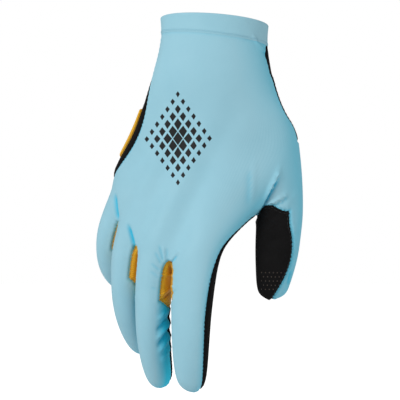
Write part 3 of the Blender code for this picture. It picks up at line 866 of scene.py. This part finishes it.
def along_seam(seam, pitch, margin=0.0):
    """Evenly spaced places on a seam: points, directions along and across, and normals."""
    at = np.arange(margin + pitch / 2, seam.length - margin, pitch)
    pick = lambda values: np.stack([np.interp(at, seam.along, values[:, i]) for i in range(3)], 1)
    return (pick(cloth_points[seam.ids]), pick(seam.tangent), pick(seam.across),
            pick(flat_normals[seam.ids]))


# %% [markdown]
# ## Stitches
# Three kinds of stitch hold the glove. A zigzag joins each mesh gusset to its neighbours,
# short stitches cross the back's other seams, and the thumb's panel and the hem have rows
# beside their edges. They are real threads and not a bump, because they lie on the outline
# of the seams.

# %% Stitch the seams
ZIGZAG_PITCH, ZIGZAG_LENGTH, ZIGZAG_TILT = 0.0009, 0.0021, 0.42
CROSS_PITCH, CROSS_LENGTH = 0.0022, 0.0015
TOP_PITCH, TOP_LENGTH, TOP_FROM_SEAM = 0.0026, 0.0019, 0.0018
THREAD_RADIUS, STITCH_ARCH, TOP_ARCH = 0.00016, 0.0004, 0.0002


def stitch_rows(wanted, pitch, lift=-0.0002):
    """The places of all stitches on the wanted seams, as four joined arrays."""
    rows = [along_seam(seam, pitch) for seam in seams if wanted(seam)]
    points, tangents, acrosses, outs = (np.concatenate(part) for part in zip(*rows))
    return points + outs * lift, tangents, acrosses, outs


points, tangents, acrosses, outs = stitch_rows(
    lambda s: s.panels[1] >= FIRST_GUSSET, ZIGZAG_PITCH)
lean = np.where(np.arange(len(points)) % 2, ZIGZAG_TILT, -ZIGZAG_TILT)[:, None]
threads("gusset_stitches", points, acrosses + tangents * lean, outs, ZIGZAG_LENGTH,
        STITCH_ARCH, THREAD_RADIUS)

points, tangents, acrosses, outs = stitch_rows(
    lambda s: s.panels in ((BACK, PALM), (BACK, THUMB_PAD)), CROSS_PITCH)
threads("seam_stitches", points, acrosses, outs, CROSS_LENGTH, STITCH_ARCH, THREAD_RADIUS)

points, tangents, acrosses, outs = stitch_rows(
    lambda s: s.panels in ((BACK, THUMB_PAD), (PALM, THUMB_PAD)), TOP_PITCH)
pad_centre = outer_skin.points[panel_points("thumb_palm")].mean(0)
inwards = np.sign(((pad_centre - points) * acrosses).sum(1))[:, None]
spots, outs = laid(points + acrosses * inwards * TOP_FROM_SEAM, panel_points("thumb_palm"))
threads("thumb_topstitch", spots, tangents, outs, TOP_LENGTH, TOP_ARCH, THREAD_RADIUS)

# %% Stitch the hem
HEM_STITCH_ROWS = [0.0010, 0.0016]  # metres above the band's lower edge
HEM_PITCH, HEM_LENGTH, HEM_ARCH, HEM_THREAD = 0.0024, 0.0018, 0.00015, 0.00012


def hem_stitches(grid):
    """Two rows round the band, each on the ring of the skin at its own height."""
    skin, out = cloth_points[grid], cloth_normals[grid]
    low, rise = skin[-1], np.linalg.norm(skin[-2] - skin[-1], axis=1)[:, None]
    rows = []
    for height in HEM_STITCH_ROWS:
        ring = low + (skin[-2] - low) / rise * height + out[-1] * HEM_OUT
        gone = np.concatenate([[0], np.cumsum(np.linalg.norm(
            np.diff(np.vstack([ring, ring[:1]]), axis=0), axis=1))])
        count = round(gone[-1] / HEM_PITCH)
        at = np.arange(count) * gone[-1] / count
        loop = np.vstack([ring, ring[:1]])
        outward = np.vstack([out[-1], out[-1][:1]])
        pick = lambda values: np.stack([np.interp(at, gone, values[:, i]) for i in range(3)], 1)
        spots = pick(loop)
        rows.append((spots, np.roll(spots, -1, 0) - np.roll(spots, 1, 0), pick(outward)))
    return (np.concatenate(part) for part in zip(*rows))


spots, alongs, outs = hem_stitches(grid)
threads("hem_stitches", spots, alongs, outs, HEM_LENGTH, HEM_ARCH, HEM_THREAD)

# %% [markdown]
# ## The side patch
# A strip of the yellow mesh is sewn on the palm beside its seam at the little finger's edge.
# Seen from the back it is only a narrow line, because it stands proud of the edge. It is a
# grid along the seam, laid on the palm and raised, with its borders rounded down.

# %% Lay the side patch
PATCH_WIDTH, PATCH_FROM_SEAM, PATCH_RISE = 0.0058, 0.0054, 0.0014
PATCH_TOP, PATCH_BOTTOM = -0.0525, -0.0838
PATCH_GRID = (120, 22)


def side_patch():
    """Rows along the seam, columns across it, raised by PATCH_RISE (1 - edge share^4)."""
    heel = [s for s in seams if s.panels == (BACK, PALM)
            and cloth_points[s.ids][:, 2].max() > PATCH_TOP
            and cloth_points[s.ids][:, 0].min() < -0.04]
    seam = max(heel, key=lambda s: s.length)
    line = cloth_points[seam.ids]
    use = (line[:, 2] < PATCH_TOP) & (line[:, 2] > PATCH_BOTTOM) & (line[:, 0] < 0)
    line, across = outer_skin.points[seam.ids][use], seam.across[use]
    order = np.argsort(line[:, 2])
    line, across = line[order], across[order]
    across = across * np.sign((across * -BACKWARD).sum(1))[:, None]
    shares = np.linspace(0, 1, PATCH_GRID[0])
    at = line[:, 2]
    heights = at[0] + shares * (at[-1] - at[0])
    pick = lambda values: np.stack([np.interp(heights, at, values[:, i]) for i in range(3)], 1)
    start, way = pick(line), pick(across)
    wide = np.linspace(0, 1, PATCH_GRID[1])
    offsets = PATCH_FROM_SEAM + PATCH_WIDTH * wide
    rough = (start[:, None] + way[:, None] * offsets[None, :, None]).reshape(-1, 3)
    spots, outs = laid(rough, panel_points("palm_panel"))
    ends, sides = np.abs(shares * 2 - 1) ** 40, np.abs(wide * 2 - 1) ** 8
    rise = PATCH_RISE * (1 - np.maximum(ends[:, None], sides[None])).reshape(-1, 1)
    ids = np.arange(len(spots)).reshape(PATCH_GRID)
    top = np.stack([ids[:-1, :-1], ids[:-1, 1:], ids[1:, 1:], ids[1:, :-1]], -1).reshape(-1, 4)
    middle = len(top) // 2
    a, b, c = (spots[top[middle, k]] for k in range(3))
    if np.cross(b - a, c - a) @ outs[top[middle, 0]] < 0:
        top = top[:, ::-1]
    under = spots - outs * 0.0003
    edge = border_edges(top)
    far = len(spots)
    rim = np.stack([edge[:, 1], edge[:, 0], edge[:, 0] + far, edge[:, 1] + far], 1)
    faces = np.vstack([top, top[:, ::-1] + far, rim])
    mesh = bpy.data.meshes.new("side_patch_cloth")
    mesh.from_pydata(np.vstack([spots + outs * rise, under]).tolist(), [], faces.tolist())
    flat = np.stack(np.meshgrid(offsets, shares * seam.length, indexing="xy"), -1).reshape(-1, 2)
    uv = np.vstack([flat, flat])[faces.ravel()]
    mesh.uv_layers.new(name="cloth").uv.foreach_set("vector", uv.astype(np.float32).ravel())
    return finish_mesh(mesh, "side_patch")


patch = side_patch()
print("side patch:", len(patch.data.polygons), "faces")

# %% [markdown]
# ## Grip dots
# The tip of the thumb's panel has rows of small dots of silicone. Each is a low dome of a few
# faces, on a slanted lattice over the lower part of the pad.

# %% Put dots on the thumb's tip
DOT_RADIUS, DOT_HEIGHT = 0.00036, 0.00016
DOT_PITCH_ACROSS, DOT_PITCH_DOWN = 0.0023, 0.0025
DOTS_LEFT, DOTS_RIGHT, DOTS_TOP, DOTS_LOW = 262, 286, 273, 293  # photograph's pixels


def grip_dots():
    """Domes: rings at angles a with radius r cos a and height h sin a, and a point on top."""
    left, right = (DOTS_LEFT - PHOTO_X) * PIXEL, (DOTS_RIGHT - PHOTO_X) * PIXEL
    top, low = (PHOTO_Y - DOTS_TOP) * PIXEL, (PHOTO_Y - DOTS_LOW) * PIXEL
    x, z = np.meshgrid(np.arange(left, right, DOT_PITCH_ACROSS),
                       np.arange(top, low, -DOT_PITCH_DOWN))
    x = x + (np.arange(len(z)) % 2)[:, None] * DOT_PITCH_ACROSS / 2
    ids = panel_points("thumb_palm")
    ids = ids[cloth_normals[ids][:, 1] < -0.2]
    pad = cloth_points[ids]
    near, away = nearest(pad[:, [0, 2]], np.stack([x.ravel(), z.ravel()], 1))
    rough = np.stack([x.ravel(), pad[near, 1], z.ravel()], 1)[away < 0.0006]
    spots, outs = laid(rough, ids)
    keep = seam_distance[ids][nearest(pad, spots)[0]] > 0.0030
    spots, outs = spots[keep], outs[keep]
    side = np.cross(outs, UP)
    side /= np.linalg.norm(side, axis=1)[:, None]
    other = np.cross(outs, side)
    turn = np.arange(8) * math.pi / 4
    rise = np.radians([-20, 10, 45])
    ring = (side[:, None, None] * (np.cos(rise)[:, None] * np.cos(turn))[None, ..., None]
            + other[:, None, None] * (np.cos(rise)[:, None] * np.sin(turn))[None, ..., None])
    domes = (spots[:, None, None] + ring * DOT_RADIUS
             + outs[:, None, None] * (np.sin(rise) * DOT_HEIGHT)[None, :, None, None])
    peaks = spots + outs * DOT_HEIGHT
    points = np.vstack([domes.reshape(-1, 3), peaks])
    ids = np.arange(len(spots) * 24).reshape(-1, 3, 8)
    here, above = ids[:, :-1], ids[:, 1:]
    walls = np.stack([here, np.roll(here, -1, 2), np.roll(above, -1, 2), above], -1)
    peak = (len(spots) * 24 + np.arange(len(spots)))[:, None]
    tops = np.stack(np.broadcast_arrays(ids[:, 2], np.roll(ids[:, 2], -1, 1), peak), -1)
    faces = (walls.reshape(-1, 4)[:, ::-1].tolist() + tops.reshape(-1, 3)[:, ::-1].tolist()
             + ids[:, 0].tolist())
    mesh = bpy.data.meshes.new("thumb_grip_dots")
    mesh.from_pydata(points.tolist(), [], faces)
    return finish_mesh(mesh)


dots = grip_dots()
print("grip dots:", len(dots.data.vertices) // 25)

# %% [markdown]
# ## Finishes
# All finishes are node materials. The knit is drawn from the cloth coordinates: each stitch
# of the knit is a V, so the courses are shifted by a triangle wave across the column.

# %% Helper for node trees
def node(tree, kind, inputs=(), **settings):
    """Adds a node, sets its settings, and sets or links its inputs. Gives its first output."""
    made = tree.nodes.new("ShaderNode" + kind)
    for key, value in settings.items():
        setattr(made, key, value)
    for key, value in dict(inputs).items():
        if isinstance(value, bpy.types.NodeSocket):
            tree.links.new(value, made.inputs[key])
        else:
            made.inputs[key].default_value = value
    return made.outputs[0]


def math_node(tree, operation, a, b=0.0, c=0.0):
    return node(tree, "Math", {0: a, 1: b, 2: c}, operation=operation)


def new_finish(name, **uniform):
    """A Principled material; uniform values go straight on the shader's sockets."""
    made = bpy.data.materials.new(name)
    made.use_nodes = True
    shader = made.node_tree.nodes["Principled BSDF"]
    for key, value in uniform.items():
        shader.inputs[key.replace("_", " ")].default_value = value
    return made, made.node_tree, shader


def mixed(tree, share, dark, light):
    """A colour between two, by the share."""
    mix = tree.nodes.new("ShaderNodeMix")
    mix.data_type = "RGBA"
    for key, value in ((0, share), (6, dark), (7, light)):
        if isinstance(value, bpy.types.NodeSocket):
            tree.links.new(value, mix.inputs[key])
        else:
            mix.inputs[key].default_value = value
    return mix.outputs[2]


def bumped(tree, shader, height, strength, distance):
    tree.links.new(node(tree, "Bump", {"Height": height, "Strength": strength,
                                       "Distance": distance}), shader.inputs["Normal"])


# %% Light blue knit
KNIT_WALE, KNIT_COURSE = 0.00075, 0.00062  # metres between columns and rows of stitches
PRINT_MIDDLE = (-0.0215, -0.0690)  # x and z of the printed patch on the back of the hand
PRINT_HALF = (0.0185, 0.0240)
LOZENGE = (0.0062, 0.0086)  # width and height of a lattice cell


def knit_height(tree, wale, course):
    """Height of a jersey knit: a rounded column times V-shaped courses."""
    cloth = node(tree, "UVMap", uv_map="cloth")
    parts = tree.nodes.new("ShaderNodeSeparateXYZ")
    tree.links.new(cloth, parts.inputs[0])
    across = math_node(tree, "FRACT", math_node(tree, "DIVIDE", parts.outputs[0], wale))
    from_middle = math_node(tree, "ABSOLUTE", math_node(tree, "SUBTRACT", across, 0.5))
    tri = math_node(tree, "MULTIPLY", from_middle, 2.0)
    phase = math_node(tree, "MULTIPLY_ADD", tri, 0.5,
                      math_node(tree, "DIVIDE", parts.outputs[1], course))
    wave = math_node(tree, "COSINE", math_node(tree, "MULTIPLY", phase, 2 * math.pi))
    column = math_node(tree, "SUBTRACT", 1.0, math_node(tree, "MULTIPLY", tri, tri))
    return math_node(tree, "MULTIPLY_ADD", wave, 0.25, math_node(tree, "MULTIPLY", column, 0.6))


def painted(tree, title):
    """The value of a point attribute."""
    made = tree.nodes.new("ShaderNodeAttribute")
    made.attribute_name = title
    return made.outputs["Fac"]


def lozenge_print(tree, place):
    """1 where the ink is: lozenges on a staggered lattice that shrink away from the middle.

    A lozenge is |x| + |y| < size in its own cell. Two lattices, half a cell apart both ways,
    make the stagger, and the size falls from the patch's middle to its edge.
    """
    parts = tree.nodes.new("ShaderNodeSeparateXYZ")
    tree.links.new(place, parts.inputs[0])
    x = math_node(tree, "SUBTRACT", parts.outputs[0], PRINT_MIDDLE[0])
    z = math_node(tree, "SUBTRACT", parts.outputs[2], PRINT_MIDDLE[1])
    far = math_node(tree, "ADD",
                    math_node(tree, "DIVIDE", math_node(tree, "ABSOLUTE", x), PRINT_HALF[0]),
                    math_node(tree, "DIVIDE", math_node(tree, "ABSOLUTE", z), PRINT_HALF[1]))
    size = math_node(tree, "MULTIPLY_ADD", far, -0.27, 0.50)
    inks = []
    for stagger in (0.0, 0.5):
        cell = []
        for value, span in ((x, LOZENGE[0]), (z, LOZENGE[1])):
            share = math_node(tree, "FRACT", math_node(
                tree, "ADD", math_node(tree, "DIVIDE", value, span), 50.5 + stagger))
            cell.append(math_node(tree, "ABSOLUTE", math_node(tree, "SUBTRACT", share, 0.5)))
        off = math_node(tree, "ADD", *cell)
        inks.append(math_node(tree, "SUBTRACT", size, off))
    edge = math_node(tree, "MAXIMUM", *inks)
    ink = node(tree, "MapRange", {"Value": edge, "From Min": -0.006, "From Max": 0.006})
    inside = math_node(tree, "LESS_THAN", far, 1.16)
    front = math_node(tree, "LESS_THAN", parts.outputs[1], 0.02)
    return math_node(tree, "MULTIPLY", ink, math_node(tree, "MULTIPLY", inside, front))


def blue_knit():
    """Pale blue with painted shade: deeper in creases, at seams and where the cloth turns from the
    back.
    """
    made, tree, shader = new_finish("blue_stretch_knit", Sheen_Weight=0.06,
                                    Sheen_Roughness=0.35, Specular_IOR_Level=0.25)
    height = knit_height(tree, KNIT_WALE, KNIT_COURSE)
    place = tree.nodes.new("ShaderNodeTexCoord").outputs["Object"]
    cloudy = node(tree, "TexNoise", {"Vector": place, "Scale": 55.0, "Detail": 3.0})
    tone = math_node(tree, "MULTIPLY_ADD", height, 0.35, math_node(tree, "MULTIPLY", cloudy, 0.5))
    base = mixed(tree, tone, (0.268, 0.528, 0.636, 1), (0.360, 0.620, 0.720, 1))
    # painted shade: a saturated deep blue where the cloth turns from the back of the hand
    base = mixed(tree, math_node(tree, "MULTIPLY", painted(tree, "side_shade"), 0.95), base,
                 (0.000, 0.580, 0.820, 1))
    # painted shade: a deep blue in the hollows of folds and beside the seams
    base = mixed(tree, painted(tree, "crease_shade"), base, (0.0, 0.460, 0.680, 1))
    ink = lozenge_print(tree, place)
    base = mixed(tree, ink, base, (0.010, 0.010, 0.011, 1))
    tree.links.new(base, shader.inputs["Base Color"])
    tree.links.new(math_node(tree, "MULTIPLY_ADD", ink, -0.15, 0.65), shader.inputs["Roughness"])
    bumped(tree, shader, height, 0.35, 0.00012)
    return made


def black_suede():
    made, tree, shader = new_finish("black_suede", Roughness=0.9, Specular_IOR_Level=0.1)
    place = tree.nodes.new("ShaderNodeTexCoord").outputs["Object"]
    nap = node(tree, "TexNoise", {"Vector": place, "Scale": 2600.0, "Detail": 2.0})
    patches = node(tree, "TexNoise", {"Vector": place, "Scale": 160.0, "Detail": 3.0})
    tone = math_node(tree, "MULTIPLY_ADD", nap, 0.6, math_node(tree, "MULTIPLY", patches, 0.4))
    tree.links.new(mixed(tree, tone, (0.001, 0.001, 0.001, 1), (0.011, 0.0105, 0.011, 1)),
                   shader.inputs["Base Color"])
    bumped(tree, shader, nap, 0.6, 0.0002)
    return made


def yellow_mesh():
    made, tree, shader = new_finish("yellow_mesh", Roughness=0.6, Sheen_Weight=0.1,
                                    Specular_IOR_Level=0.3)
    cloth = node(tree, "UVMap", uv_map="cloth")
    parts = tree.nodes.new("ShaderNodeSeparateXYZ")
    tree.links.new(cloth, parts.inputs[0])
    waves = [math_node(tree, "SINE", math_node(tree, "MULTIPLY", parts.outputs[k],
                                               2 * math.pi / 0.0013)) for k in range(2)]
    holes = math_node(tree, "MULTIPLY", *waves)
    open_share = node(tree, "MapRange", {"Value": holes, "From Min": 0.35, "From Max": 0.6})
    base = mixed(tree, open_share, (0.88, 0.47, 0.012, 1), (0.40, 0.17, 0.006, 1))
    # painted shade: a dark brown in the hollows of folds and beside the seams
    base = mixed(tree, math_node(tree, "MULTIPLY", painted(tree, "crease_shade"), 0.8), base,
                 (0.26, 0.09, 0.004, 1))
    tree.links.new(base, shader.inputs["Base Color"])
    bumped(tree, shader, math_node(tree, "SUBTRACT", 1.0, open_share), 0.6, 0.0003)
    return made


def thread_finish(name, dark, light):
    made, tree, shader = new_finish(name, Roughness=0.5, Specular_IOR_Level=0.4)
    place = tree.nodes.new("ShaderNodeTexCoord").outputs["Object"]
    twist = node(tree, "TexNoise", {"Vector": place, "Scale": 3000.0, "Detail": 1.0})
    tree.links.new(mixed(tree, twist, dark, light), shader.inputs["Base Color"])
    bumped(tree, shader, twist, 0.4, 0.0001)
    return made


blue, black, yellow = blue_knit(), black_suede(), yellow_mesh()
blue_thread = thread_finish("blue_thread", (0.22, 0.48, 0.59, 1), (0.34, 0.60, 0.70, 1))
black_thread = thread_finish("black_thread", (0.002, 0.002, 0.002, 1), (0.010, 0.010, 0.011, 1))
yellow_thread = thread_finish("yellow_thread", (0.60, 0.34, 0.01, 1), (0.86, 0.55, 0.02, 1))
silicone = thread_finish("grip_silicone", (0.030, 0.022, 0.016, 1), (0.075, 0.055, 0.040, 1))

Dress = namedtuple("Dress", "finish slot")
DRESS = {
    "back_panel_cloth": Dress(blue, "blue_knit"),
    "cuff_hem_cloth": Dress(blue, "blue_knit"),
    "palm_panel_cloth": Dress(black, "black_suede"),
    "thumb_palm_cloth": Dress(black, "black_suede"),
    "gusset_index_middle_cloth": Dress(yellow, "yellow_mesh"),
    "gusset_middle_ring_cloth": Dress(yellow, "yellow_mesh"),
    "gusset_ring_little_cloth": Dress(yellow, "yellow_mesh"),
    "side_patch_cloth": Dress(yellow, "yellow_mesh"),
    "gusset_stitches": Dress(yellow_thread, "yellow_mesh"),
    "seam_stitches": Dress(black_thread, "black_suede"),
    "thumb_topstitch": Dress(black_thread, "black_suede"),
    "hem_stitches": Dress(blue_thread, "blue_knit"),
    "thumb_grip_dots": Dress(silicone, "black_suede"),
}
for name, dress in DRESS.items():
    pieces[name].data.materials.append(dress.finish)
print("finished pieces:", len(DRESS))

# %% [markdown]
# ## Flat sizes
# The cloth was cut flat before it was sewn. The panels are worn stretched, so each cut is a
# little smaller than the panel that is seen. Only a record for such a cut is defined here; no
# panel is given a flat size.

Cut = namedtuple("Cut", "piece width length rests_on with_pieces")


# %% [markdown]
# ## Floor, light and camera
# The photograph has a white ground and soft light from the upper left. A wide floor and a
# pale world give the ground, a large lamp gives the light, a weaker one on the other side
# lifts the shade, and a long lens from the front gives the photograph's view.

# %% Stage
FLOOR_BELOW, FLOOR_RADIUS, FLOOR_SIDES = 0.03, 2.5, 96
around = np.arange(FLOOR_SIDES) * 2 * math.pi / FLOOR_SIDES
floor_ring = np.stack([np.cos(around) * FLOOR_RADIUS, np.sin(around) * FLOOR_RADIUS,
                       np.full(FLOOR_SIDES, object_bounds()[0][2] - FLOOR_BELOW)], 1)
floor_mesh = mesh_from("floor", floor_ring, [range(FLOOR_SIDES)])
floor = bpy.data.objects.new("floor", floor_mesh)
bpy.context.scene.collection.objects.link(floor)
floor_finish, tree, shader = new_finish("floor_paper", Roughness=0.9, Specular_IOR_Level=0.1,
                                        Base_Color=(0.95, 0.95, 0.95, 1),
                                        Emission_Color=(1, 1, 1, 1))
seen = tree.nodes.new("ShaderNodeLightPath").outputs["Is Camera Ray"]
tree.links.new(math_node(tree, "MULTIPLY", seen, 0.6), shader.inputs["Emission Strength"])
floor_mesh.materials.append(floor_finish)

WORLD_SEEN, WORLD_LIGHT = 1.0, 0.38


def studio_world():
    """White where it is seen, and a weaker soft light on the glove."""
    world = bpy.data.worlds.new("studio")
    bpy.context.scene.world = world
    world.use_nodes = True
    tree = world.node_tree
    seen = tree.nodes.new("ShaderNodeLightPath").outputs["Is Camera Ray"]
    strength = math_node(tree, "MULTIPLY_ADD", seen, WORLD_SEEN - WORLD_LIGHT, WORLD_LIGHT)
    tree.links.new(strength, tree.nodes["Background"].inputs["Strength"])
    tree.nodes["Background"].inputs["Color"].default_value = (1, 1, 1, 1)


studio_world()


def lamp(name, place, size, watts):
    """A square lamp that looks at the middle of the glove."""
    light = bpy.data.lights.new(name, "AREA")
    light.size, light.energy = size, watts
    made = bpy.data.objects.new(name, light)
    made.location = place
    way = np.array([-0.01, 0.01, -0.10]) - np.array(place)
    made.rotation_euler = math.acos(-way[2] / np.linalg.norm(way)), 0, math.atan2(-way[0], way[1])
    bpy.context.scene.collection.objects.link(made)
    return made


lamp("key_light", (-3.8, -3.7, 2.5), 2.2, 215)
lamp("fill_light", (3.8, -2.6, 0.4), 2.4, 50)

# %% Camera
CAMERA_AWAY, LENS = 1.3, 198.3
camera_data = bpy.data.cameras.new("camera")
camera_data.lens = LENS
camera = bpy.data.objects.new("camera", camera_data)
camera.location = (-0.008555, -CAMERA_AWAY, -0.105)
camera.rotation_euler = (math.radians(90), 0, 0)
bpy.context.scene.collection.objects.link(camera)
bpy.context.scene.camera = camera
bpy.context.scene.view_settings.view_transform = "Standard"
